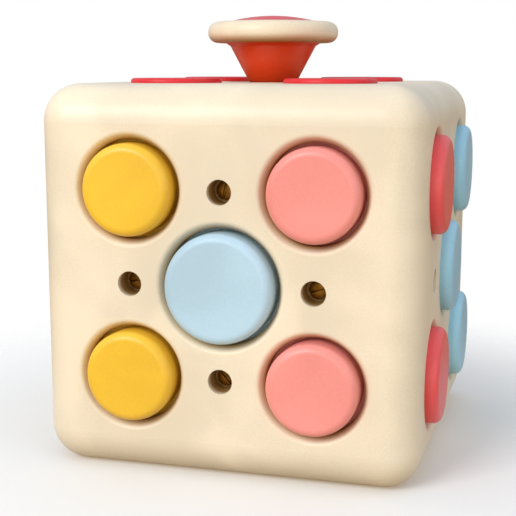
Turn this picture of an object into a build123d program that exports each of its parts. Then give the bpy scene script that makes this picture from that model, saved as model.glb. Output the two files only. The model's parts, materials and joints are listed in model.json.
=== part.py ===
from build123d import *
from math import cos, radians, sin, sqrt, tan
import os

# A fidget cube: a rounded square casing with something to press, tilt, flip, roll or rub on
# each face. Millimetres, +Z up, origin in the middle of the flat underside.
# Front (-Y): five buttons. Right (+X): five buttons. Top (+Z): thumbstick and four low buttons.
# Left (-X): three thumb dials and a ball. Back (+Y): rocker switch. Underside (-Z): thumb dish.

# ---------- casing ----------
cube_side = 33.0
edge_round = 3.2          # every outer edge and corner
wall = 2.0
seam_past_round = 0.3     # the back cover parts from the casing this far into the rear rounding
module_floor = 0.2        # left between the deepest module and the core frame
core_wall = 2.5
core_roof = 3.2
core_edge = 0.5           # chamfer on the core frame's edges

# ---------- buttons ----------
front_button_r = 3.85
front_middle_r = 4.6
side_button_r = 4.15
top_button_r = 4.03
button_proud = 1.0
top_button_proud = 0.4
button_gap = 0.35         # between a button and its bore, all round
button_round = 0.7
top_button_round = 0.3
button_shell = 1.1        # thickness of a button's hollow cap
button_travel = 1.0
top_button_travel = 0.6
collar_over = 0.3         # how far a button's collar reaches past its bore
collar_thick = 0.9
collar_play = 0.05
stem_r = 1.1
stop_play = 0.02          # between a pressed button's stem and the core frame
mouth_round = 0.4         # soft edge where a button well meets the face
mouth_depth = 0.75
side_mouth_depth = 0.5
mouth_angle = 60.0        # slope of the well's cone, from the face
top_mouth_depth = 0.35
front_edge_margin = 0.55  # flat left between the corner wells and the rounding
side_edge_margin = 0.1
top_edge_margin = 1.5

# ---------- button springs ----------
spring_r = 1.6
spring_wire_r = 0.17
spring_turns = 4.0
spring_end_gap = 0.06     # between a spring's last turn and what it presses on

# ---------- screws ----------
screw_hole_r = 1.05
screw_head_r = 0.75
screw_head_sunk = 1.6
screw_head_thick = 0.6
screw_head_edge = 0.12
screw_shank_r = 0.5
screw_fit = 0.03
screw_bite = 1.5          # how far a screw reaches into the core frame
screw_slot_width = 0.18
screw_slot_depth = 0.25
boss_r = 1.65
screw_way_spare = 0.3     # hole left past a screw's end

# ---------- thumbstick ----------
stick_tilt = 12.0
stick_pivot_depth = 4.6
shaft_r = 1.3
hub_r = 1.5
hub_fit = 0.02
boot_low_r = 2.05
boot_high_r = 4.1
boot_round = 0.9          # soft lower edge of the skirt
boot_flare = 0.3          # the skirt's last spread, just under the cap
boot_low = -0.3           # height above the top face
ring_low = 3.55
ring_r = 6.0
ring_thick = 1.9
ring_rim_round = 0.9
insert_r = 4.2
insert_proud = 0.55
insert_depth = 1.2
stick_clear = 0.35
ring_fit = 0.05
gimbal_in_r = 2.4
gimbal_out_r = 3.5
gimbal_thick = 1.5
gimbal_play = 0.35        # radial room between gimbal ring and socket
gimbal_pin_r = 0.5
pin_fit = 0.05
socket_wall = 1.1
socket_lip_gap = 0.02
foot_r = 2.5              # the stick's foot, which the centring spring pushes up
foot_thick = 0.5
foot_neck_r = 0.8
centring_spring_r = 2.0
centring_turns = 2.5
spring_pocket_deep = 2.4  # in the core frame's roof
spring_pocket_room = 1.2  # past the foot, for it to swing

# ---------- thumb dials and ball ----------
dial_r = 3.9
dial_width = 3.6
dial_depth = 1.7          # the axle's depth behind the face
dial_spacing = 4.7        # between neighbouring dials
dial_edge_margin = 1.05   # flat left between the dials' slots and the rounding
dial_gap = 0.2
dial_teeth = 18
dial_groove_r = 0.32
axle_r = 0.6
axle_fit = 0.06
cradle_rim = 0.8          # cradle left past each end of the axle
cradle_rail = 0.5         # cradle left above and below the dials
cradle_behind = 2.1       # cradle left behind the axle's middle
ball_r = 3.2
ball_proud = 1.3
ball_edge_margin = 3.1
ball_gap = 0.1
retainer_wall = 1.1

# ---------- rocker switch ----------
rocker_swing = 18.0       # from one side pressed to the other
rocker_width = 6.4
rocker_r = 6.2            # reach of the rocker's ends from its pin
rocker_pin_depth = 2.6
rocker_valley = 0.3       # height of the rocker's crease above the face
rocker_under = 0.6        # body left below the pin's middle
rocker_hub_r = 1.6
rocker_soft = 0.4
rocker_gap = 0.2
bezel_rim = 1.4
bezel_lip = 0.8
bezel_proud = 0.5
bezel_round = 1.2
bezel_deep = 4.4          # from the face in
bezel_fit = 0.05
leaf_thick = 0.25
leaf_width = 3.0
leaf_reach = 4.0
leaf_gap = 0.15

# ---------- thumb dish ----------
dish_r = 9.4
dish_depth = 1.1
dish_rim = 0.7
dish_flange = 0.9
dish_fit = 0.05

# ---------- worked out from the sizes above ----------
half = cube_side / 2
flat_half = half - edge_round
seam_y = flat_half + seam_past_round
dial_pitch = dial_width + dial_spacing
pocket_r = dial_r + dial_gap
dial_rise = flat_half - dial_edge_margin - sqrt(pocket_r**2 - dial_depth**2)
ball_depth = ball_r - ball_proud
ball_room_r = ball_r + ball_gap
ball_drop = flat_half - ball_edge_margin - sqrt(ball_room_r**2 - ball_depth**2)
module_depth = module_floor + max(dial_depth + pocket_r, ball_depth + ball_room_r)
core_half = half - module_depth
mouth_rise = mouth_round * (1 - cos(radians(mouth_angle)))
mouth_run = mouth_round * sin(radians(mouth_angle))


def mouth_over(depth):
    """How far a well's mouth spreads past its bore."""
    return (depth - mouth_rise) / tan(radians(mouth_angle)) + mouth_run


front_pitch = flat_half - front_edge_margin - front_button_r - button_gap - mouth_over(mouth_depth)
side_pitch = flat_half - side_edge_margin - side_button_r - button_gap - mouth_over(side_mouth_depth)
top_pitch = flat_half - top_edge_margin - top_button_r - button_gap - mouth_over(top_mouth_depth)
back_screw_pitch = core_half - boss_r

# Each face as a plane on the casing: local Z points out, local Y is up (away from the front, on top).
FRONT = Plane(origin=(0, -half, half), x_dir=(1, 0, 0), z_dir=(0, -1, 0))
RIGHT = Plane(origin=(half, 0, half), x_dir=(0, 1, 0), z_dir=(1, 0, 0))
BACK = Plane(origin=(0, half, half), x_dir=(-1, 0, 0), z_dir=(0, 1, 0))
LEFT = Plane(origin=(-half, 0, half), x_dir=(0, -1, 0), z_dir=(-1, 0, 0))
TOP = Plane(origin=(0, 0, cube_side), x_dir=(1, 0, 0), z_dir=(0, 0, 1))
UNDER = Plane(origin=(0, 0, 0), x_dir=(1, 0, 0), z_dir=(0, 0, -1))

MIDDLE = (0, 0)
CORNERS = [(-1, 1), (1, 1), (-1, -1), (1, -1)]
MIDSIDES = [(0, 1), (1, 0), (0, -1), (-1, 0)]
DIAL_STEPS = {"dial_front": 1, "dial_middle": 0, "dial_rear": -1}


def on(face, shape, x=0.0, y=0.0):
    """The shape, modelled about a face's own origin, put at x, y on that face."""
    return face.location * Pos(x, y, 0) * shape


def disc(radius, low, high):
    """A cylinder about Z between two heights."""
    return Pos(0, 0, low) * Cylinder(radius, high - low, align=(Align.CENTER, Align.CENTER, Align.MIN))


def turned(points):
    """A solid of revolution about Z from (radius, height) points."""
    outline = Polyline(*[(r, 0, z) for r, z in points], close=True)
    return revolve(make_face(outline), axis=Axis.Z)


def coil(radius, wire_r, low, high, turns):
    """A spring about Z whose wire just fits between two heights."""
    height = high - low - 2 * wire_r
    path = Pos(0, 0, low + wire_r) * Helix(pitch=height / turns, height=height, radius=radius)
    section = Plane(origin=path @ 0, z_dir=path % 0) * Circle(wire_r)
    return sweep(section, path=path, is_frenet=True)


# ---------- button parts, about a face's own origin ----------
def mouth_arc(mouth_r, cone_top):
    """The arc from the top of a well's cone out to the face, which it meets flush."""
    middle = radians(mouth_angle / 2)
    halfway = (mouth_r - mouth_round * sin(middle), 0, -mouth_round * (1 - cos(middle)))
    return ThreePointArc(cone_top, halfway, (mouth_r, 0, 0))


def well(radius, depth):
    """The cutter for a button well: a bore, a cone and a softly rounded mouth."""
    bore_r = radius + button_gap
    mouth_r = bore_r + mouth_over(depth)
    cone_top = (mouth_r - mouth_run, 0, -mouth_rise)
    above = Polyline((mouth_r, 0, 0), (mouth_r, 0, wall), (0, 0, wall), (0, 0, -2 * wall))
    below = Polyline((0, 0, -2 * wall), (bore_r, 0, -2 * wall), (bore_r, 0, -depth), cone_top)
    return revolve(make_face([above, below, mouth_arc(mouth_r, cone_top)]), axis=Axis.Z)


def button(radius, proud, rounding, travel):
    """A hollow cap with a collar that keeps it in, and a stem that stops it on the core frame."""
    collar_top = -wall - collar_play
    collar_low = collar_top - collar_thick
    cap = disc(radius, collar_top, proud)
    cap = fillet(cap.edges().sort_by(Axis.Z)[-1], rounding)
    cap += disc(radius + button_gap + collar_over, collar_low, collar_top)
    cap -= disc(radius - button_shell, collar_low, proud - button_shell)
    return cap + disc(stem_r, travel + stop_play - module_depth, proud - button_shell)


def button_spring(proud):
    """The return spring, between the inside of the cap and the core frame."""
    low = -module_depth + spring_end_gap
    return coil(spring_r, spring_wire_r, low, proud - button_shell - spring_end_gap, spring_turns)


def place_name(x, y, low, high, left, right):
    """A place on a face in words: the middle, or a corner such as top_left."""
    if (x, y) == MIDDLE:
        return "middle"
    return f"{low if y < 0 else high}_{left if x < 0 else right}"


def button_rows():
    """Every button: its name, face, place, radius, height, rounding, travel and mouth depth."""
    rows = []
    for x, y in (MIDDLE, *CORNERS):
        name = "front_button_" + place_name(x, y, "bottom", "top", "left", "right")
        radius = front_middle_r if (x, y) == MIDDLE else front_button_r
        rows.append((name, FRONT, x * front_pitch, y * front_pitch, radius, button_proud,
                     button_round, button_travel, mouth_depth))
    for x, y in (MIDDLE, *CORNERS):
        name = "side_button_" + place_name(x, y, "bottom", "top", "front", "rear")
        rows.append((name, RIGHT, x * side_pitch, y * side_pitch, side_button_r, button_proud,
                     button_round, button_travel, side_mouth_depth))
    for x, y in CORNERS:
        name = "top_button_" + place_name(x, y, "front", "rear", "left", "right")
        rows.append((name, TOP, x * top_pitch, y * top_pitch, top_button_r, top_button_proud,
                     top_button_round, top_button_travel, top_mouth_depth))
    return rows


# ---------- screws, about a face's own origin ----------
screw_seat = -screw_head_sunk - screw_head_thick
screw_end = -module_depth - screw_bite


def screw():
    """A small flat-topped screw with one slot."""
    head = disc(screw_head_r, screw_seat, -screw_head_sunk)
    head = chamfer(head.edges().sort_by(Axis.Z)[-1], screw_head_edge)
    head -= Pos(0, 0, -screw_head_sunk) * Box(2 * screw_head_r, screw_slot_width, 2 * screw_slot_depth)
    return head + disc(screw_shank_r, screw_end, screw_seat)


def screw_boss():
    """The post behind the wall that a screw passes through, down to the core frame."""
    return disc(boss_r, -module_depth, -wall / 2)


def screw_way():
    """The cutter for a screw: a hole for its head, a seat and a hole for its shank."""
    shank = disc(screw_shank_r + screw_fit, screw_end - screw_way_spare, screw_seat)
    return shank + disc(screw_hole_r, screw_seat, wall)


def screw_places():
    """Every screw: its face, and where on it."""
    return {
        "front_screws": [(FRONT, x * front_pitch, y * front_pitch) for x, y in MIDSIDES],
        "side_screws": [(RIGHT, x * side_pitch, y * side_pitch) for x, y in MIDSIDES],
        "back_screws": [(BACK, x * back_screw_pitch, y * back_screw_pitch) for x, y in CORNERS],
    }


def with_screw_holes(body, groups):
    """The body with a post behind each screw of these groups, and the hole through both."""
    places = [place for group in groups for place in screw_places()[group]]
    for face, x, y in places:
        body += on(face, screw_boss(), x, y)
    for face, x, y in places:
        body -= on(face, screw_way(), x, y)
    return body


# ---------- thumb dials and ball, about the left face's own origin ----------
axle_half = dial_pitch + dial_width / 2 + cradle_rim


def across(radius, length):
    """A cylinder along the dials' axle, at the axle's height and depth."""
    return Pos(0, dial_rise, -dial_depth) * Rot(0, 90, 0) * Cylinder(radius, length)


def dial():
    """One thumb dial with finger grooves round its rim."""
    wheel = Cylinder(dial_r, dial_width)
    wheel = chamfer(wheel.edges(), dial_groove_r)
    wheel -= PolarLocations(dial_r, dial_teeth) * Cylinder(dial_groove_r, dial_width)
    wheel -= Cylinder(axle_r + axle_fit, dial_width)
    return Pos(0, dial_rise, -dial_depth) * Rot(0, 90, 0) * wheel


def dial_pockets():
    """The cutter for the three dials and their axle."""
    room = across(axle_r + screw_fit, 2 * axle_half)
    for step in DIAL_STEPS.values():
        room += Pos(step * dial_pitch, 0, 0) * across(pocket_r, dial_width + 2 * dial_gap)
    return room


def dial_cradle():
    """The block behind the dials that holds their axle against the wall."""
    depth = dial_depth + cradle_behind - wall
    block = Box(2 * (axle_half + cradle_rim), 2 * (pocket_r + cradle_rail), depth)
    return Pos(0, dial_rise, -wall - depth / 2) * block - dial_pockets()


def ball():
    """The ball, which shows through a hole narrower than itself."""
    return Pos(0, -ball_drop, -ball_depth) * Sphere(ball_r)


def ball_room():
    """The cutter for the ball's seat."""
    return Pos(0, -ball_drop, -ball_depth) * Sphere(ball_room_r)


def ball_retainer():
    """The cup behind the ball."""
    cup = disc(ball_room_r + retainer_wall, -module_depth, -wall)
    return Pos(0, -ball_drop, 0) * cup - ball_room()


# ---------- rocker switch, about the back face's own origin ----------
bezel_x = rocker_width / 2 + rocker_gap + bezel_rim
bezel_y = rocker_r + rocker_gap + bezel_rim


def rounded_block(x, y, low, high, rounding):
    """A block about Z with rounded upright corners, given its half sizes."""
    return Pos(0, 0, low) * extrude(RectangleRounded(2 * x, 2 * y, rounding), high - low)


def pin_bar(radius, length):
    """A cylinder along the rocker's pin."""
    return Pos(0, 0, -rocker_pin_depth) * Rot(0, 90, 0) * Cylinder(radius, length)


def rocker():
    """The rocker with its upper end standing out: round ends, a creased face and a hub."""
    crease = rocker_pin_depth + rocker_valley
    rise = crease + rocker_r * tan(radians(rocker_swing / 2))
    outline = Polyline((0, -rocker_r, -rocker_under), (0, rocker_r, -rocker_under), (0, rocker_r, rise),
                       (0, 0, crease), (0, -rocker_r, rise), close=True)
    body = extrude(make_face(outline), rocker_width / 2, both=True, dir=(1, 0, 0))
    body &= Rot(0, 90, 0) * Cylinder(rocker_r, rocker_width)
    body = fillet(body.edges().group_by(Axis.Z)[-1], rocker_soft)
    body += Rot(0, 90, 0) * Cylinder(rocker_hub_r, rocker_width)
    body -= Rot(0, 90, 0) * Cylinder(axle_r + axle_fit, rocker_width)
    return Pos(0, 0, -rocker_pin_depth) * Rot(rocker_swing / 2, 0, 0) * body


def rocker_bezel():
    """The frame round the rocker, with cheeks that hold its pin."""
    lip = bezel_round + bezel_lip
    frame = rounded_block(bezel_x + bezel_lip, bezel_y + bezel_lip, 0, bezel_proud, lip)
    frame = chamfer(frame.faces().sort_by(Axis.Z)[-1].edges(), bezel_proud / 2)
    frame += rounded_block(bezel_x, bezel_y, -bezel_deep, 0, bezel_round)
    frame -= Box(rocker_width + 2 * rocker_gap, 2 * (rocker_r + rocker_gap), 4 * module_depth)
    return frame - pin_bar(axle_r + screw_fit, 4 * bezel_x)


def rocker_leaf():
    """The bowed spring strip under the rocker that makes it snap over."""
    foot = -module_depth
    crest = -rocker_pin_depth - rocker_hub_r - leaf_gap
    upper = ThreePointArc((0, -leaf_reach, foot), (0, 0, crest), (0, leaf_reach, foot))
    inner = leaf_reach - 2 * leaf_thick
    lower = ThreePointArc((0, inner, foot), (0, 0, crest - leaf_thick), (0, -inner, foot))
    ends = [Line(upper @ 1, lower @ 0), Line(lower @ 1, upper @ 0)]
    return extrude(make_face([upper, lower, *ends]), leaf_width / 2, both=True, dir=(1, 0, 0))


# ---------- thumbstick, about the top face's own origin ----------
pivot = -stick_pivot_depth
ring_high = ring_low + ring_thick
insert_low = ring_high - insert_depth
socket_in_r = gimbal_out_r + gimbal_play
socket_out_r = socket_in_r + socket_wall
foot_high = pivot - hub_r
foot_low = foot_high - foot_thick
spring_pocket_low = -module_depth - spring_pocket_deep
tilt_slope = tan(radians(stick_tilt * sqrt(2)))    # leaning both ways at once
opening_r = boot_low_r + (stick_pivot_depth + boot_low) * tilt_slope + stick_clear


def cross_bar(radius, length, turn):
    """A bar through the stick's pivot: along X at a turn of 0, along Y at a turn of 90."""
    return Pos(0, 0, pivot) * Rot(0, 0, turn) * Rot(0, 90, 0) * Cylinder(radius, length)


def stick_boot():
    """The flaring skirt between the casing and the cap ring, bored for the shaft."""
    skirt = turned([(0, boot_low), (boot_low_r, boot_low), (boot_high_r, ring_low), (0, ring_low)])
    skirt = fillet(skirt.edges().sort_by(Axis.Z)[0], boot_round)
    flare_low = ring_low - boot_flare
    slope = (boot_high_r - boot_low_r) / (ring_low - boot_low)
    skirt += turned([(0, flare_low), (boot_high_r - boot_flare * slope, flare_low),
                     (boot_high_r + boot_flare, ring_low), (0, ring_low)])
    return skirt - disc(shaft_r + hub_fit, boot_low, ring_low)


def stick_ring():
    """The cap's broad ring, with a round rim and a seat for its insert."""
    ring = disc(ring_r, ring_low, ring_high)
    ring = fillet(ring.edges(), ring_rim_round)
    ring -= disc(insert_r + ring_fit, insert_low, ring_high)
    return ring - disc(shaft_r + hub_fit, ring_low, ring_high)


def stick_insert():
    """The shallow domed disc let into the cap."""
    ball_r_of_dome = (insert_r**2 + insert_proud**2) / (2 * insert_proud)
    dome = Pos(0, 0, ring_high + insert_proud - ball_r_of_dome) * Sphere(ball_r_of_dome)
    return disc(insert_r, insert_low, ring_high + insert_proud) & dome


def stick_shaft():
    """The shaft with its hub, bored for the cross pin, and a foot for the spring to push."""
    shaft = disc(shaft_r, pivot, insert_low)
    shaft += Pos(0, 0, pivot) * Sphere(hub_r)
    shaft += disc(foot_neck_r, foot_low, pivot) + disc(foot_r, foot_low, foot_high)
    return shaft - cross_bar(gimbal_pin_r + hub_fit, 4 * hub_r, 90)


def gimbal_ring():
    """The ring that lets the stick rock both ways."""
    ring = disc(gimbal_out_r, pivot - gimbal_thick / 2, pivot + gimbal_thick / 2)
    ring -= disc(gimbal_in_r, pivot - gimbal_thick, pivot + gimbal_thick)
    ring -= cross_bar(gimbal_pin_r + pin_fit, 4 * gimbal_out_r, 90)
    return ring - cross_bar(gimbal_pin_r + hub_fit, 4 * gimbal_out_r, 0)


def gimbal_pins():
    """The two pins that the gimbal ring rocks on, in the bearing cup."""
    length = socket_out_r - pin_fit - gimbal_in_r
    middle = gimbal_in_r + length / 2
    return Compound([Pos(side * middle, 0, 0) * cross_bar(gimbal_pin_r, length, 0) for side in (-1, 1)])


def stick_socket():
    """The bearing cup that stands on the core frame and carries the gimbal."""
    cup = disc(socket_out_r, -module_depth, -wall - socket_lip_gap)
    cup -= disc(socket_in_r, -2 * module_depth, 0)
    return cup - cross_bar(gimbal_pin_r + pin_fit, 4 * socket_out_r, 0)


def centring_spring():
    """The spring that stands the stick up again."""
    return coil(centring_spring_r, spring_wire_r, spring_pocket_low + spring_end_gap,
                foot_low - spring_end_gap, centring_turns)


def stick_opening():
    """The cutter for the thumbstick's opening, flared so that the skirt clears it at full tilt."""
    flare_r = opening_r + wall * tilt_slope
    return turned([(0, wall), (flare_r, wall), (flare_r, 0), (opening_r, -wall),
                   (opening_r, -2 * wall), (0, -2 * wall)])


# ---------- thumb dish, about the underside's own origin ----------
def thumb_dish():
    """A round inlay with a shallow hollow for the thumb, and a flange inside the casing."""
    hollow_r = dish_r - dish_rim
    ball_r_of_hollow = (hollow_r**2 + dish_depth**2) / (2 * dish_depth)
    plate = disc(dish_r, -wall, 0) + disc(dish_r + dish_flange, -wall - dish_flange, -wall)
    return plate - Pos(0, 0, ball_r_of_hollow - dish_depth) * Sphere(ball_r_of_hollow)


# ---------- casing, cover and core frame ----------
def rounded_cube(size, rounding):
    """A cube with all its edges rounded, about the casing's middle."""
    return Pos(0, 0, half) * fillet(Box(size, size, size).edges(), rounding)


def hollow_cube(behind_seam):
    """The part of the hollow rounded cube that lies before or behind the seam."""
    shell = rounded_cube(cube_side, edge_round) - rounded_cube(cube_side - 2 * wall, edge_round - wall)
    keep = Box(2 * cube_side, cube_side, 2 * cube_side)
    return shell & (Pos(0, seam_y + (half if behind_seam else -half), half) * keep)


def casing():
    """Front, right, left, top and underside in one moulding, open at the back."""
    body = with_screw_holes(hollow_cube(behind_seam=False), ("front_screws", "side_screws"))
    for _, face, x, y, radius, _, _, _, depth in button_rows():
        body -= on(face, well(radius, depth), x, y)
    body -= on(TOP, stick_opening())
    body -= on(LEFT, dial_pockets())
    body -= on(LEFT, ball_room())
    return body - on(UNDER, disc(dish_r + dish_fit, -2 * wall, wall))


def back_cover():
    """The back face with its rounded edges, held on by four screws."""
    body = with_screw_holes(hollow_cube(behind_seam=True), ("back_screws",))
    window = rounded_block(bezel_x + bezel_fit, bezel_y + bezel_fit, -2 * wall, wall,
                           bezel_round + bezel_fit)
    return body - on(BACK, window)


def core_frame():
    """The inner block that every face is screwed to or springs from, open underneath."""
    size = 2 * core_half
    frame = chamfer(Box(size, size, size).edges(), core_edge)
    frame -= Pos(0, 0, -core_roof) * Box(size - 2 * core_wall, size - 2 * core_wall, size)
    frame = Pos(0, 0, half) * frame
    for places in screw_places().values():
        for face, x, y in places:
            frame -= on(face, screw_way(), x, y)
    return frame - on(TOP, disc(foot_r + spring_pocket_room, spring_pocket_low, 0))


def write(name, shape):
    """Writes one named piece."""
    shape.label = name
    export_step(shape, f"parts/{name}.step")


def main():
    os.makedirs("parts", exist_ok=True)
    write("casing", casing())
    write("back_cover", back_cover())
    write("core_frame", core_frame())
    for name, face, x, y, radius, proud, rounding, travel, _ in button_rows():
        write(name, on(face, button(radius, proud, rounding, travel), x, y))
        write(name.replace("button", "spring"), on(face, button_spring(proud), x, y))
    for name, places in screw_places().items():
        write(name, Compound([on(face, screw(), x, y) for face, x, y in places]))
    for piece in (stick_shaft, stick_boot, stick_ring, stick_insert, gimbal_ring, gimbal_pins,
                  stick_socket, centring_spring):
        write(piece.__name__, on(TOP, piece()))
    write("stick_pin", on(TOP, cross_bar(gimbal_pin_r, 2 * (gimbal_out_r - pin_fit), 90)))
    for name, step in DIAL_STEPS.items():
        write(name, on(LEFT, dial(), step * dial_pitch))
    write("dial_axle", on(LEFT, across(axle_r, 2 * axle_half)))
    for piece in (dial_cradle, ball, ball_retainer):
        write(piece.__name__, on(LEFT, piece()))
    for piece in (rocker, rocker_bezel, rocker_leaf):
        write(piece.__name__, on(BACK, piece()))
    write("rocker_pin", on(BACK, pin_bar(axle_r, 2 * bezel_x)))
    write("thumb_dish", on(UNDER, thumb_dish()))


main()
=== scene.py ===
# %% [markdown]
# # A fidget cube, dressed for the camera
# The cube is a small toy for restless fingers. Its moulded casing, buttons, thumbstick, dials and
# ball come as an engineering model, cut to size and already able to move. This lesson gives each
# piece its surface: satin plastic, bronze, polished steel. It also makes by hand the few pieces
# that look better as smooth Blender meshes. Everything is in metres, and +Z is up.

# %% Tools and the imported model
import json
import math

import bmesh
import bpy
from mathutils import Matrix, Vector


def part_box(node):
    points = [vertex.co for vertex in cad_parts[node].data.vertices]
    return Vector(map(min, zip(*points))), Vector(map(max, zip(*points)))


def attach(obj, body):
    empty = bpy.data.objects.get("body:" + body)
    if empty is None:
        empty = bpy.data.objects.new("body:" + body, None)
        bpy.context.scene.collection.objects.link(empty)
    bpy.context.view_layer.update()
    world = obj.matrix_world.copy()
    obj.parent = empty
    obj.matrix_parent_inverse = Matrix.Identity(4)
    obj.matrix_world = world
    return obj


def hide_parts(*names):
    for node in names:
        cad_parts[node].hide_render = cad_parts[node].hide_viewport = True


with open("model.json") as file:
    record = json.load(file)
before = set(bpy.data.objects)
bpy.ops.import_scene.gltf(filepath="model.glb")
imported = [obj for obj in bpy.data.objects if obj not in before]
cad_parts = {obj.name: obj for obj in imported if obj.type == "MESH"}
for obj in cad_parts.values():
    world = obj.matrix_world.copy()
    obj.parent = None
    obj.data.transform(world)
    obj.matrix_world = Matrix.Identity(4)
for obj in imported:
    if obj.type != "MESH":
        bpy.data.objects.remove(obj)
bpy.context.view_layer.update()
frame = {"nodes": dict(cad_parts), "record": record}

MM = 0.001

# %% [markdown]
# ## Measuring the cube
# A good habit is to ask the model for its sizes instead of typing them again. The casing's box
# gives the side of the cube, and its middle is the point that every face is measured from. Only
# the radius of the rounded edges cannot be read off a box, so that one is typed.

# %% The cube's measures
casing_low, casing_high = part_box("casing")
SIDE = casing_high.x - casing_low.x
HALF = SIDE / 2
MIDDLE = Vector((0, 0, HALF))
ROUNDING = 3.2 * MM
print(f"the cube is {SIDE / MM:.1f} mm along each side")

# %% [markdown]
# ## The camera
# The cube is seen nearly head on, from a little to its right, with a fairly long lens so that its
# edges stay almost parallel. The lens is just above the top face and looks slightly down, so the
# low top buttons show edge on, and upright edges lean in a little towards the table.

# %% Camera
EYE_FROM_MIDDLE = Vector((27.90, -101.84, 17.80)) * MM
TURNED_LEFT = math.radians(16.08)
NODDED_DOWN = math.radians(9.90)
lens = bpy.data.cameras.new("product_lens")
lens.lens = 78.09
lens.sensor_width = 36
lens.shift_y = 0.0097
lens.clip_start = 0.005
camera = bpy.data.objects.new("camera", lens)
camera.location = MIDDLE + EYE_FROM_MIDDLE
camera.rotation_euler = (math.pi / 2 - NODDED_DOWN, 0, TURNED_LEFT)
bpy.context.collection.objects.link(camera)
bpy.context.scene.camera = camera
bpy.context.scene.view_settings.view_transform = "Standard"
print("camera is", round((camera.location - MIDDLE).length * 1000), "mm from the middle of the cube")

# %% [markdown]
# ## Sums that build nodes
# Shader nodes are easier to read when they are written as sums. `Wire` holds one output of a node.
# Adding, subtracting or multiplying wires adds the matching Math node, so `1 - mask` is one Math
# node set to Subtract. The same class serves geometry nodes, because both kinds of tree have
# Math nodes.

# %% A wire that can be added and multiplied
class Wire:
    """One output socket of a node, to be used in sums."""

    def __init__(self, tree, socket):
        self.tree = tree
        self.socket = socket

    def math(self, operation, *values):
        node = self.tree.nodes.new("ShaderNodeMath")
        node.operation = operation
        for socket, value in zip(node.inputs, values):
            join(self.tree, socket, value)
        return Wire(self.tree, node.outputs[0])

    def __add__(self, other):
        return self.math("ADD", self, other)

    def __sub__(self, other):
        return self.math("SUBTRACT", self, other)

    def __rsub__(self, other):
        return self.math("SUBTRACT", other, self)

    def __mul__(self, other):
        return self.math("MULTIPLY", self, other)

    def __truediv__(self, other):
        return self.math("DIVIDE", self, other)

    def __pow__(self, other):
        return self.math("POWER", self, other)

    def __abs__(self):
        return self.math("ABSOLUTE", self)

    __radd__ = __add__
    __rmul__ = __mul__

    def at_least(self, other):
        return self.math("MAXIMUM", self, other)

    def cosine(self):
        return self.math("COSINE", self)

    def angle_with(self, other):
        return self.math("ARCTAN2", self, other)


def join(tree, socket, value):
    """Links a wire to a socket, or sets the socket to a plain value."""
    if isinstance(value, Wire):
        tree.links.new(value.socket, socket)
    else:
        socket.default_value = value


# %% [markdown]
# ## One way to add any other node
# Each node has settings, such as which noise it makes, and sockets, which take numbers or wires.
# One method sets both, in that order, and hands back the output as a wire.

# %% A node tree to write in
class Sheet:
    """A node tree, whose nodes are added by type, settings and sockets."""

    def __init__(self, tree):
        self.tree = tree

    def add(self, kind, out=0, settings=None, **sockets):
        """Adds one node and returns one of its outputs as a wire."""
        node = self.tree.nodes.new(kind)
        for name, value in (settings or {}).items():
            setattr(node, name, value)
        for name, value in sockets.items():
            socket = node.inputs[int(name[1:])] if name[0] == "_" else find_socket(node, name)
            join(self.tree, socket, value)
        return Wire(self.tree, node.outputs[out]) if node.outputs else node

    def soft_step(self, value, low, high):
        """Rises smoothly from 0 to 1 as the value goes from low to high."""
        return self.add("ShaderNodeMapRange", settings={"interpolation_type": "SMOOTHSTEP"},
                        Value=value, From_Min=low, From_Max=high)

    def tint(self, amount, first, second):
        """A colour that goes from the first to the second."""
        node = self.tree.nodes.new("ShaderNodeMix")
        node.data_type = "RGBA"
        colour_sockets = [socket for socket in node.inputs if socket.type == "RGBA"]
        join(self.tree, node.inputs["Factor"], amount)
        join(self.tree, colour_sockets[0], first)
        join(self.tree, colour_sockets[1], second)
        return Wire(self.tree, next(s for s in node.outputs if s.type == "RGBA"))


def find_socket(node, name):
    """The input whose label is this name with spaces for underscores."""
    return node.inputs[name.replace("_", " ")]


def paint(red, green, blue):
    """A colour as it looks on a screen, 0 to 255, turned into light, 0 to 1."""
    light = [((v / 255 + 0.055) / 1.055) ** 2.4 for v in (red, green, blue)]
    return (*light, 1.0)


# %% [markdown]
# ## Moulded plastic
# ABS plastic comes out of a polished and then lightly blasted mould. Close up it has three things:
# a very fine even grain, slow drifts of tone where the plastic flowed, and a slightly smoother
# skin where fingers touch it most. A flat colour has none of these, so it looks like a drawing.
# Noise at three sizes gives all of them. The touched places are told to the recipe as a wire,
# so each face can have its own.

# %% Recipe for moulded plastic
GRAIN_SIZE = 0.16 * MM
FLOW_SIZE = 9 * MM
SMUDGE_SIZE = 2.6 * MM
# Painted shade: the darker, warmer colour that well walls and the ring's lower lip are tinted to, also used
# for the seam line.
SHADE_AND_SEAM_COLOUR = (0.40, 0.23, 0.07, 1)


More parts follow.
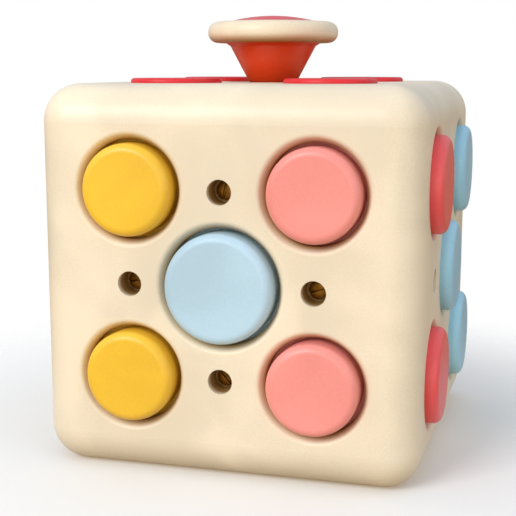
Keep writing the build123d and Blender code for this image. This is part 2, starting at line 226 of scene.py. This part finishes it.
def moulded(name, colour, touched=None, roughness=0.46, depth=1.0, shaded=None):
    """A satin moulded plastic. touched and shaded take the sheet and a place and give 0 to 1."""
    material = bpy.data.materials.new(name)
    material.use_nodes = True
    sheet = Sheet(material.node_tree)
    sheet.tree.nodes.clear()
    place = sheet.add("ShaderNodeTexCoord", out="Object")
    flow = sheet.add("ShaderNodeTexNoise", Vector=place, Scale=1 / FLOW_SIZE, Detail=2.0, Distortion=0.6)
    smudge = sheet.add("ShaderNodeTexNoise", Vector=place, Scale=1 / SMUDGE_SIZE, Detail=4.0, Roughness=0.65)
    grain = sheet.add("ShaderNodeTexNoise", Vector=place, Scale=1 / GRAIN_SIZE, Detail=2.0, Roughness=0.7)
    hairline = scratches(sheet, place)
    worn = touched(sheet, place) if touched else 0.0
    darker = tuple(v * 0.90 for v in colour[:3]) + (1.0,)
    lighter = tuple(min(1.0, v * 1.05) for v in colour[:3]) + (1.0,)
    tone = sheet.soft_step(flow + (grain - 0.5) * 0.35, 0.30, 0.72)
    base = sheet.tint(tone, darker, lighter)
    # Painted shade: where the shaded mask is 1, the colour is tinted darker and warmer.
    if shaded:
        base = sheet.tint(shaded(sheet, place), base, SHADE_AND_SEAM_COLOUR)
    handled = worn * 0.10 + hairline * 0.08
    gloss = roughness + (smudge - 0.5) * 0.16 - handled
    height = grain * 0.75 + smudge * 0.25 - hairline * 0.5
    bump = sheet.add("ShaderNodeBump", Strength=0.22 * depth, Distance=0.03 * MM, Height=height)
    shader = sheet.add("ShaderNodeBsdfPrincipled", Base_Color=base, Roughness=gloss, Normal=bump,
                       IOR=1.49, Subsurface_Weight=0.06, Subsurface_Scale=1.2 * MM,
                       Subsurface_Radius=(1.0, 0.55, 0.3))
    sheet.add("ShaderNodeOutputMaterial", Surface=shader)
    return material


# %% [markdown]
# ## Hairline scratches
# A toy that lives in a pocket with keys picks up hairline scratches. A Wave or a stretched noise
# can draw them. Here two noises are stretched in different directions and only their crests are
# kept, so that the scratches are short, thin and rare.

# %% Scratches
SCRATCH_LENGTH = 2.2 * MM
SCRATCH_WIDTH = 0.05 * MM


def scratches(sheet, place):
    """1 on a few thin scratches, 0 elsewhere."""
    marks = 0.0
    for turn in ((0.5, 0.2, 0.9), (-0.4, 0.7, -0.6)):
        turned = sheet.add("ShaderNodeVectorRotate", settings={"rotation_type": "EULER_XYZ"},
                           Vector=place, Rotation=turn)
        laid = sheet.add("ShaderNodeMapping", Vector=turned,
                         Scale=(1 / SCRATCH_WIDTH, 1 / SCRATCH_LENGTH, 1 / SCRATCH_LENGTH))
        streak = sheet.add("ShaderNodeTexNoise", Vector=laid, Scale=1.0, Detail=0.0)
        marks = marks + sheet.soft_step(streak, 0.76, 0.82)
    return marks


# %% [markdown]
# ## Where fingers touch, and where shade is painted
# On the casing they touch the rounded edges. Distances past the flat part of each face, added up,
# are larger on a rounded edge than the straight distance, and that difference is the mask.
# On a button they touch its raised face, so there the mask is just the height above the casing.
# The straight distance also tells how far a wall is below the cube's skin. Walls down there are
# painted warmer and darker: painted shade, for the shade that falls down in the wells. The same
# paint draws a hair-thin line along the seam between the casing and its back cover.

# %% Touch masks
SEAM_CORE = 0.02 * MM
SEAM_REACH = 0.08 * MM


def past_the_flats(sheet, place):
    """How far a place is past the flat part of the faces: added up, and straight."""
    centred = sheet.add("ShaderNodeVectorMath", settings={"operation": "SUBTRACT"},
                        _0=place, _1=MIDDLE)
    parts = [sheet.add("ShaderNodeSeparateXYZ", out=axis, Vector=centred) for axis in "XYZ"]
    past = [(abs(part) - (HALF - ROUNDING)).at_least(0.0) / ROUNDING for part in parts]
    return past[0] + past[1] + past[2], (past[0] ** 2 + past[1] ** 2 + past[2] ** 2) ** 0.5


def rounded_edges(sheet, place):
    """0 on the cube's flat faces, 1 on its rounded edges and corners."""
    added_up, straight = past_the_flats(sheet, place)
    return sheet.soft_step(added_up - straight, 0.06, 0.36)


def well_shade_and_seam(sheet, place):
    """Painted shade: 0 on the cube's skin, 1 well below it, on the walls of holes and wells; also 1 on the
    seam line.
    """
    added_up, straight = past_the_flats(sheet, place)
    return sheet.soft_step(1 - straight, 0.04, 0.27).at_least(seam_line(sheet, place))


def seam_line(sheet, place):
    """1 along the hair-thin line where the back cover meets the casing."""
    depth = sheet.add("ShaderNodeSeparateXYZ", out="Y", Vector=place)
    return 1 - sheet.soft_step(abs(depth - casing_high.y), SEAM_CORE, SEAM_REACH)


def raised_face(out_of_cube):
    """A mask that is 1 on what stands out of the cube in one direction."""

    def mask(sheet, place):
        centred = sheet.add("ShaderNodeVectorMath", settings={"operation": "SUBTRACT"},
                            _0=place, _1=MIDDLE)
        out = sheet.add("ShaderNodeVectorMath", out="Value", settings={"operation": "DOT_PRODUCT"},
                        _0=centred, _1=out_of_cube)
        return sheet.soft_step(out, HALF, HALF + 1.2 * MM)

    return mask


# Painted shade: the ring's lower lip is tinted darker and warmer, for the shade that falls under the ring.
def shade_under_the_ring(sheet, place):
    """Painted shade: 1 on the lower lip of the thumbstick's ring, 0 from its middle up."""
    low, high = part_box("stick_ring")
    height = sheet.add("ShaderNodeSeparateXYZ", out="Z", Vector=place)
    return 1 - sheet.soft_step(height, low.z, low.z + 0.45 * (high.z - low.z))


# %% [markdown]
# ## The cube's plastics
# Cream for the casing, and soft toy colours for what moves. Colours are given as they look on a
# screen, and `paint` turns them into amounts of light, which is what a shader works in.

# %% Plastics
FRONTWARD = Vector((0, -1, 0))
RIGHTWARD = Vector((1, 0, 0))
UPWARD = Vector((0, 0, 1))
cream_casing = moulded("cream_casing", paint(243, 229, 204), touched=rounded_edges,
                       shaded=well_shade_and_seam)
cream_cap = moulded("cream_cap", paint(241, 226, 199), roughness=0.40)
# The ring's lower lip gets painted shade.
cream_ring = moulded("cream_ring", paint(241, 226, 199), roughness=0.40, shaded=shade_under_the_ring)
plastics = {
    "yellow": moulded("yellow_button", paint(252, 200, 56), raised_face(FRONTWARD)),
    "coral": moulded("coral_button", paint(254, 156, 148), raised_face(FRONTWARD)),
    "pale_blue": moulded("pale_blue_button", paint(188, 219, 238), raised_face(FRONTWARD)),
    "red": moulded("red_side_button", paint(255, 98, 102), raised_face(RIGHTWARD)),
    "sky_blue": moulded("sky_blue_side_button", paint(166, 222, 253), raised_face(RIGHTWARD)),
    "signal_red": moulded("signal_red_button", paint(226, 40, 48), raised_face(UPWARD)),
    "orange_red": moulded("orange_red_skirt", paint(222, 66, 24), roughness=0.36),
    "dark_nylon": moulded("dark_nylon", paint(58, 56, 58), roughness=0.55, depth=1.6),
}
print("plastics:", ", ".join(plastics))

# %% [markdown]
# ## Metals
# Turned metal keeps fine rings or streaks from the tool, and its reflections are broken up by
# them. A stretched noise changes the roughness along the streaks. Small dark specks are tarnish.

# %% Recipe for metal
def metal(name, colour, tarnish, roughness, streak=0.25 * MM):
    """A metal with tool streaks and a little tarnish."""
    material = bpy.data.materials.new(name)
    material.use_nodes = True
    sheet = Sheet(material.node_tree)
    sheet.tree.nodes.clear()
    place = sheet.add("ShaderNodeTexCoord", out="Object")
    laid = sheet.add("ShaderNodeMapping", Vector=place, Rotation=(0.3, 0.5, 0.2),
                     Scale=(8 / streak, 1 / streak, 1 / streak))
    streaks = sheet.add("ShaderNodeTexNoise", Vector=laid, Scale=1.0, Detail=3.0)
    spots = sheet.add("ShaderNodeTexNoise", Vector=place, Scale=1 / (0.7 * MM), Detail=5.0, Roughness=0.7)
    aged = sheet.soft_step(spots, 0.50, 0.72)
    base = sheet.tint(aged, colour, tarnish)
    rough = roughness + (streaks - 0.5) * 0.18 + aged * 0.18
    bump = sheet.add("ShaderNodeBump", Strength=0.15, Distance=0.01 * MM, Height=streaks)
    shader = sheet.add("ShaderNodeBsdfPrincipled", Base_Color=base, Roughness=rough, Normal=bump,
                       Metallic=1.0)
    sheet.add("ShaderNodeOutputMaterial", Surface=shader)
    return material


metals = {
    "bronze": metal("bronze", paint(138, 96, 36), paint(78, 50, 20), 0.44),
    "polished_steel": metal("polished_steel", paint(214, 214, 218), paint(168, 166, 164), 0.16),
    "spring_steel": metal("spring_steel", paint(150, 152, 156), paint(96, 96, 98), 0.34),
}

# %% [markdown]
# ## Dressing the engineering parts
# The record says which material slot each part takes. A part keeps its shape and only its
# material changes, by putting the new one in the part's own slot.

# %% Dress every part
def dress(node, material):
    """Gives one engineering part its finish."""
    data = frame["nodes"][node].data
    if not data.materials:
        data.materials.append(material)
    for index in range(len(data.materials)):
        data.materials[index] = material


slot_of = {row["node"]: row["material_slot"] for row in frame["record"]["subparts"]}
finishes = {**plastics, **metals, "cream": cream_casing}
for node, slot in slot_of.items():
    dress(node, finishes[slot])
for node in ("dial_front", "dial_middle", "dial_rear", "rocker_bezel"):
    dress(node, cream_cap)
dress("stick_ring", cream_ring)
print("dressed", len(slot_of), "parts")

# %% [markdown]
# ## Reading a part's own sizes
# A part that Blender makes again has to fit where the engineering part was, so its sizes are read
# from that part. Its mesh is loose triangles, so a copy is merged first. Then each group of
# touching faces is one loose piece, such as one of four screws.

# %% Loose pieces of a part
def loose_pieces(node):
    """The points of each separate piece in a part, as lists."""
    merged = bmesh.new()
    merged.from_mesh(frame["nodes"][node].data)
    bmesh.ops.remove_doubles(merged, verts=merged.verts, dist=0.001 * MM)
    waiting = set(merged.verts)
    pieces = []
    while waiting:
        edge_of_search = [waiting.pop()]
        piece = []
        while edge_of_search:
            vertex = edge_of_search.pop()
            piece.append(vertex.co.copy())
            for edge in vertex.link_edges:
                other = edge.other_vert(vertex)
                if other in waiting:
                    waiting.discard(other)
                    edge_of_search.append(other)
        pieces.append(piece)
    merged.free()
    return pieces


def around_axis(points, centre, along):
    """Each point as (distance from the axis, height along it)."""
    rows = []
    for point in points:
        height = (point - centre).dot(along)
        rows.append(((point - centre - height * along).length, height))
    return rows


# %% [markdown]
# ## A small geometry tree kit
# Geometry Nodes make what repeats: screws on their seats, and grips round a dial. A tree gets named
# inputs, so one tree makes several pieces. `Shaper` builds the tree and gives it its inputs, and
# `carve` runs it on a starting mesh and keeps the result as a plain mesh.

# %% Shaper and carve
class Shaper(Sheet):
    """A geometry tree with named inputs, each given as (name, socket type)."""

    def __init__(self, name, inputs):
        super().__init__(bpy.data.node_groups.new(name, "GeometryNodeTree"))
        face = self.tree.interface
        face.new_socket("Geometry", in_out="OUTPUT", socket_type="NodeSocketGeometry")
        face.new_socket("Geometry", in_out="INPUT", socket_type="NodeSocketGeometry")
        self.keys = {label: face.new_socket(label, in_out="INPUT", socket_type=kind).identifier
                     for label, kind in inputs}
        self.entry = self.tree.nodes.new("NodeGroupInput")

    def given(self, label):
        """One of the tree's inputs, as a wire."""
        return Wire(self.tree, self.entry.outputs[label])

    def ending(self, shape, finish):
        """Ends the tree: real geometry, with its material."""
        real = self.add("GeometryNodeRealizeInstances", Geometry=shape)
        painted = self.add("GeometryNodeSetMaterial", Geometry=real, Material=finish)
        self.tree.nodes.new("NodeGroupOutput")
        join(self.tree, self.tree.nodes[-1].inputs["Geometry"], painted)


def carve(name, shaper, start, values):
    """Runs a tree on a starting mesh and gives a plain mesh object."""
    holder = bpy.data.objects.new(name + "_start", start)
    bpy.context.collection.objects.link(holder)
    modifier = holder.modifiers.new("shape", "NODES")
    modifier.node_group = shaper.tree
    for label, value in values.items():
        modifier[shaper.keys[label]] = value
    return keep_result(name, holder)


def keep_result(name, holder):
    """The evaluated mesh of an object, as a new object in its place, with the old one removed."""
    evaluated = holder.evaluated_get(bpy.context.evaluated_depsgraph_get())
    result = bpy.data.meshes.new_from_object(evaluated)
    result.name = name
    bpy.data.objects.remove(holder)
    result.shade_smooth()
    result.set_sharp_from_angle(angle=math.radians(38))
    piece = bpy.data.objects.new(name, result)
    bpy.context.collection.objects.link(piece)
    return piece


# %% [markdown]
# ## One screw
# Each face is held by small flat screws, deep in their holes. A real one has a slightly domed head
# with a broken edge and a sawn slot. The head and shank are one outline turned round an axis. The
# slot is cut with a Boolean modifier, and a Bevel modifier breaks every edge, so that it
# catches light.

# %% Turning an outline
def turned_mesh(name, outline, steps):
    """A closed mesh from (radius, height) points, turned about Z. Its ends lie on the axis."""
    points = [(0.0, 0.0, outline[0][1])]
    for radius, height in outline[1:-1]:
        for step in range(steps):
            turn = math.tau * step / steps
            points.append((radius * math.cos(turn), radius * math.sin(turn), height))
    points.append((0.0, 0.0, outline[-1][1]))
    last = len(points) - 1
    faces = []
    for step in range(steps):
        after = (step + 1) % steps
        faces.append((0, 1 + step, 1 + after))
        faces.append((last, last - steps + after, last - steps + step))
        for ring in range(len(outline) - 3):
            low, high = 1 + ring * steps, 1 + (ring + 1) * steps
            faces.append((low + step, high + step, high + after, low + after))
    mesh = bpy.data.meshes.new(name)
    mesh.from_pydata(points, [], faces)
    return mesh


# %% Sizes of the engineering screw
OUTWARD = {"front_screws": Vector((0, -1, 0)), "side_screws": Vector((1, 0, 0)),
           "back_screws": Vector((0, 1, 0))}
seats = []
for node, outward in OUTWARD.items():
    for piece in loose_pieces(node):
        middle = sum(piece, Vector()) / len(piece)
        top = max((point - middle).dot(outward) for point in piece)
        seats.append((middle + top * outward, outward))
        turned_points = around_axis(piece, middle + top * outward, outward)
HEAD_RADIUS = max(radius for radius, height in turned_points)
SCREW_END = min(height for radius, height in turned_points)
HEAD_SEAT = min(height for radius, height in turned_points if radius > 0.95 * HEAD_RADIUS)
SHANK_RADIUS = max(radius for radius, height in turned_points if height < 0.95 * SCREW_END)
print(len(seats), "screws, head radius", round(HEAD_RADIUS / MM, 2), "mm, length",
      round(-SCREW_END / MM, 2), "mm")

# %% The screw's mesh
HEAD_DOME = 0.05 * MM
SLOT_WIDTH = 0.20 * MM
SLOT_DEPTH = 0.28 * MM
BROKEN_EDGE = 0.05 * MM


def block_mesh(name, low, high):
    """A block between two corners."""
    x, y, z = zip(low, high)
    points = [(x[i], y[j], z[k]) for i in (0, 1) for j in (0, 1) for k in (0, 1)]
    faces = [(0, 1, 3, 2), (4, 6, 7, 5), (0, 4, 5, 1), (2, 3, 7, 6), (0, 2, 6, 4), (1, 5, 7, 3)]
    mesh = bpy.data.meshes.new(name)
    mesh.from_pydata(points, [], faces)
    return mesh


screw_outline = [(0, 0), (0.4 * HEAD_RADIUS, -0.1 * HEAD_DOME), (0.85 * HEAD_RADIUS, -0.6 * HEAD_DOME),
                 (HEAD_RADIUS, -2 * HEAD_DOME), (HEAD_RADIUS, HEAD_SEAT),
                 (SHANK_RADIUS, HEAD_SEAT), (SHANK_RADIUS, SCREW_END), (0, SCREW_END)]
screw = bpy.data.objects.new("screw_blank", turned_mesh("screw_blank", screw_outline, 48))
saw = bpy.data.objects.new("saw", block_mesh("saw", (-2 * HEAD_RADIUS, -SLOT_WIDTH / 2, -SLOT_DEPTH),
                                             (2 * HEAD_RADIUS, SLOT_WIDTH / 2, SLOT_DEPTH)))
for thing in (screw, saw):
    bpy.context.collection.objects.link(thing)
cut = screw.modifiers.new("slot", "BOOLEAN")
cut.operation = "DIFFERENCE"
cut.object = saw
edge = screw.modifiers.new("edges", "BEVEL")
edge.width = BROKEN_EDGE
edge.segments = 2
edge.limit_method = "ANGLE"
edge.angle_limit = math.radians(35)
one_screw = keep_result("one_screw", screw)
bpy.data.objects.remove(saw)
print("one screw has", len(one_screw.data.polygons), "faces")

# %% [markdown]
# ## Twelve screws on their seats
# No one leaves all slots lined up, so each screw is turned by a random amount, with a fixed seed
# so that it is the same every time. The tree puts the screw on each seat, points it outwards and
# turns it.

# %% Screws
screw_tree = Shaper("screws_on_seats", [("Screw", "NodeSocketObject"), ("Seed", "NodeSocketInt"),
                                        ("Finish", "NodeSocketMaterial")])
outward_wire = screw_tree.add("GeometryNodeInputNamedAttribute",
                              settings={"data_type": "FLOAT_VECTOR"}, Name="outward")
facing = screw_tree.add("FunctionNodeAlignRotationToVector", settings={"axis": "Z"}, Vector=outward_wire)
spin = screw_tree.add("FunctionNodeRandomValue", out=1, settings={"data_type": "FLOAT"},
                      _2=0.0, _3=math.pi, Seed=screw_tree.given("Seed"))
own_turn = screw_tree.add("FunctionNodeEulerToRotation",
                          Euler=screw_tree.add("ShaderNodeCombineXYZ", Z=spin))
rotation = screw_tree.add("FunctionNodeRotateRotation", settings={"rotation_space": "LOCAL"},
                          Rotation=facing, Rotate_By=own_turn)
blank = screw_tree.add("GeometryNodeObjectInfo", out="Geometry", Object=screw_tree.given("Screw"))
placed = screw_tree.add("GeometryNodeInstanceOnPoints", Points=screw_tree.given("Geometry"),
                        Instance=blank, Rotation=rotation)
screw_tree.ending(placed, screw_tree.given("Finish"))

seat_mesh = bpy.data.meshes.new("screw_seats")
seat_mesh.from_pydata([place for place, outward in seats], [], [])
seat_mesh.attributes.new("outward", "FLOAT_VECTOR", "POINT")
for row, (place, outward) in zip(seat_mesh.attributes["outward"].data, seats):
    row.vector = outward
screws = carve("screws", screw_tree, seat_mesh,
               {"Screw": one_screw, "Seed": 7, "Finish": metals["bronze"]})
bpy.data.objects.remove(one_screw)
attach(screws, "housing")
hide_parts(*OUTWARD)
print("screws:", len(screws.data.polygons), "faces")

# %% [markdown]
# ## Thumb dials
# A thumb dial is a thick wheel with soft rims and grips moulded round it. Its shape follows a
# rule: a rounded rectangle swept round a circle, with its rim pressed in by a wave that repeats
# once for each grip. That makes it a good job for Geometry Nodes.

# %% The dial's tree
GRIPS = 18
STEPS_PER_GRIP = 14
dial_tree = Shaper("thumb_dial", [("Reach", "NodeSocketFloat"), ("Bore", "NodeSocketFloat"),
                                  ("Width", "NodeSocketFloat"), ("Rim", "NodeSocketFloat"),
                                  ("Groove", "NodeSocketFloat"), ("Place", "NodeSocketVector"),
                                  ("Finish", "NodeSocketMaterial")])
reach, bore = dial_tree.given("Reach"), dial_tree.given("Bore")
path = dial_tree.add("GeometryNodeCurvePrimitiveCircle", settings={"mode": "RADIUS"},
                     Resolution=GRIPS * STEPS_PER_GRIP, Radius=(reach + bore) / 2)
section = dial_tree.add("GeometryNodeCurvePrimitiveQuadrilateral", settings={"mode": "RECTANGLE"},
                        Width=reach - bore, Height=dial_tree.given("Width"))
soft_section = dial_tree.add("GeometryNodeFilletCurve", settings={"mode": "POLY"}, Curve=section,
                             Count=5, Radius=dial_tree.given("Rim"))
wheel = dial_tree.add("GeometryNodeCurveToMesh", Curve=path, Profile_Curve=soft_section)
spot = dial_tree.add("GeometryNodeInputPosition")
x, y, z = (dial_tree.add("ShaderNodeSeparateXYZ", out=axis, Vector=spot) for axis in "XYZ")
away = (x * x + y * y) ** 0.5
wave = (y.angle_with(x) * GRIPS).cosine().at_least(0.0) ** 0.7
at_rim = dial_tree.soft_step(away, reach - 1.1 * MM, reach)
closer = 1 - wave * at_rim * dial_tree.given("Groove") / away
gripped = dial_tree.add("ShaderNodeCombineXYZ", X=x * closer, Y=y * closer, Z=z)
wheel = dial_tree.add("GeometryNodeSetPosition", Geometry=wheel, Position=gripped)
stood = dial_tree.add("GeometryNodeTransform", Geometry=wheel, Rotation=(math.pi / 2, 0, 0),
                      Translation=dial_tree.given("Place"))
dial_tree.ending(stood, dial_tree.given("Finish"))

# %% Three dials
for node in ("dial_front", "dial_middle", "dial_rear"):
    low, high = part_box(node)
    centre = (low + high) / 2
    wheel_points = [vertex.co for vertex in frame["nodes"][node].data.vertices]
    turned_points = around_axis(wheel_points, centre, Vector((0, 1, 0)))
    dial = carve("thumb_" + node, dial_tree, bpy.data.meshes.new("nothing"),
                 {"Reach": (high.z - low.z) / 2, "Bore": min(radius for radius, height in turned_points),
                  "Width": high.y - low.y, "Rim": 0.45 * MM, "Groove": 0.34 * MM,
                  "Place": centre, "Finish": cream_cap})
    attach(dial, node)
    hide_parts(node)
    print(node, "has", len(dial.data.polygons), "faces and is",
          [round(v / MM, 2) for v in dial.dimensions], "mm")

# %% [markdown]
# ## The floor
# Product pictures are taken on a wide pale sheet. This one is a round sheet whose rim fades out, so
# that no edge or horizon shows behind the cube. A floor that is bright enough to look white also
# throws a lot of light up into the button wells, so the floor is hidden from soft bounces.

# %% Floor
FLOOR_REACH = 0.6
FLOOR_STEPS = 96
floor_mesh = bpy.data.meshes.new("floor")
rim = [(FLOOR_REACH * math.cos(turn), FLOOR_REACH * math.sin(turn), 0.0)
       for turn in (math.tau * step / FLOOR_STEPS for step in range(FLOOR_STEPS))]
floor_mesh.from_pydata(rim, [], [range(FLOOR_STEPS)])
floor = bpy.data.objects.new("floor", floor_mesh)
bpy.context.collection.objects.link(floor)
floor_paint = bpy.data.materials.new("pale_floor")
floor_paint.use_nodes = True
floor_sheet = Sheet(floor_paint.node_tree)
floor_sheet.tree.nodes.clear()
floor_place = floor_sheet.add("ShaderNodeTexCoord", out="Object")
floor_cloud = floor_sheet.add("ShaderNodeTexNoise", Vector=floor_place, Scale=12.0, Detail=3.0)
floor_tone = floor_sheet.tint(floor_cloud, (0.95, 0.95, 0.94, 1), (0.98, 0.98, 0.97, 1))
floor_face = floor_sheet.add("ShaderNodeBsdfPrincipled", Base_Color=floor_tone, Roughness=0.9)
floor_gone = floor_sheet.add("ShaderNodeBsdfTransparent")
from_middle = floor_sheet.add("ShaderNodeVectorMath", out="Value", settings={"operation": "LENGTH"},
                              _0=floor_place)
fading = floor_sheet.soft_step(from_middle, 0.6 * SIDE, 1.7 * SIDE)
floor_shader = floor_sheet.add("ShaderNodeMixShader", _0=fading, _1=floor_face, _2=floor_gone)
floor_sheet.add("ShaderNodeOutputMaterial", Surface=floor_shader)
floor_mesh.materials.append(floor_paint)
floor.visible_diffuse = False

# %% [markdown]
# ## Light
# One broad soft light, in front on the left and a little above, gives each button its bright upper
# left edge and leaves the upper walls of the wells in shade. A low warm one stands in for the light
# that a desk throws back, and a cool one lifts the buttons on the right. The rest is a pale room,
# bright above the floor and dim and warm below. Only the camera sees the room as plain white.

# %% Lights
def soft_light(name, place, aim, size, watts, colour):
    """A square soft light that looks at a point."""
    lamp = bpy.data.lights.new(name, "AREA")
    lamp.size = size
    lamp.energy = watts
    lamp.color = colour
    holder = bpy.data.objects.new(name, lamp)
    holder.location = place
    holder.rotation_euler = (aim - place).to_track_quat("-Z", "Y").to_euler()
    bpy.context.collection.objects.link(holder)


soft_light("key", MIDDLE + Vector((-0.24, -0.48, 0.31)), MIDDLE, 0.30, 2.15, (1.0, 0.99, 0.96))
soft_light("desk_bounce", MIDDLE + Vector((0.10, -0.55, 0.03)), MIDDLE, 0.30, 0.50, (1.0, 0.90, 0.72))
soft_light("side_fill", MIDDLE + Vector((0.50, -0.30, 0.10)), MIDDLE, 0.30, 0.42, (0.90, 0.96, 1.0))

# %% Room
room = bpy.data.worlds.new("pale_room")
room.use_nodes = True
sky = Sheet(room.node_tree)
sky.tree.nodes.clear()
looking = sky.add("ShaderNodeTexCoord", out="Generated")
height = sky.add("ShaderNodeSeparateXYZ", out="Z", Vector=looking)
glow = sky.tint(sky.soft_step(height, -0.15, 0.25), (0.35, 0.25, 0.13, 1), (0.60, 0.64, 0.70, 1))
room_light = sky.add("ShaderNodeBackground", Color=glow, Strength=1.0)
room_white = sky.add("ShaderNodeBackground", Color=(1, 1, 1, 1), Strength=1.0)
seen = sky.add("ShaderNodeLightPath", out="Is Camera Ray")
room_seen = sky.add("ShaderNodeMixShader", _0=seen, _1=room_light, _2=room_white)
sky.add("ShaderNodeOutputWorld", Surface=room_seen)
bpy.context.scene.world = room
